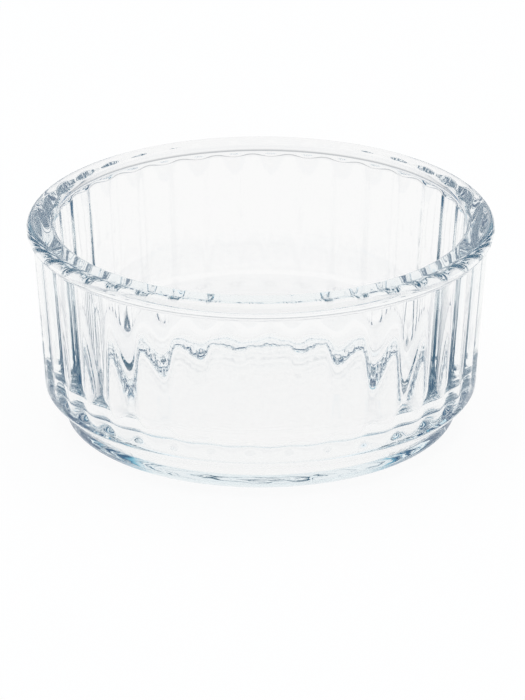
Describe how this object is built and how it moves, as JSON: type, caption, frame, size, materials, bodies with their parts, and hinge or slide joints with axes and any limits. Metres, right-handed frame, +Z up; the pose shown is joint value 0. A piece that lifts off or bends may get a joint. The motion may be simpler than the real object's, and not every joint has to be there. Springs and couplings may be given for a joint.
{
  "type": "ramekin",
  "caption": "Small round baking dish of clear pressed glass with upright ribs outside, a smooth inside, a round rim bead and a stepped-in foot.",
  "frame": {"origin": "middle of the foot, on the plane that the dish stands on", "axes": "+Z up along the dish's axis, -Y towards the viewer of the picture, +X to the right"},
  "size_m": [0.1, 0.1, 0.045],
  "materials": {
    "clear_glass": "clear pressed glass, fire-polished, faintly blue where it is thick"
  },
  "bodies": {
    "root": {"glass_bowl": "clear_glass"}
  },
  "joints": []
}
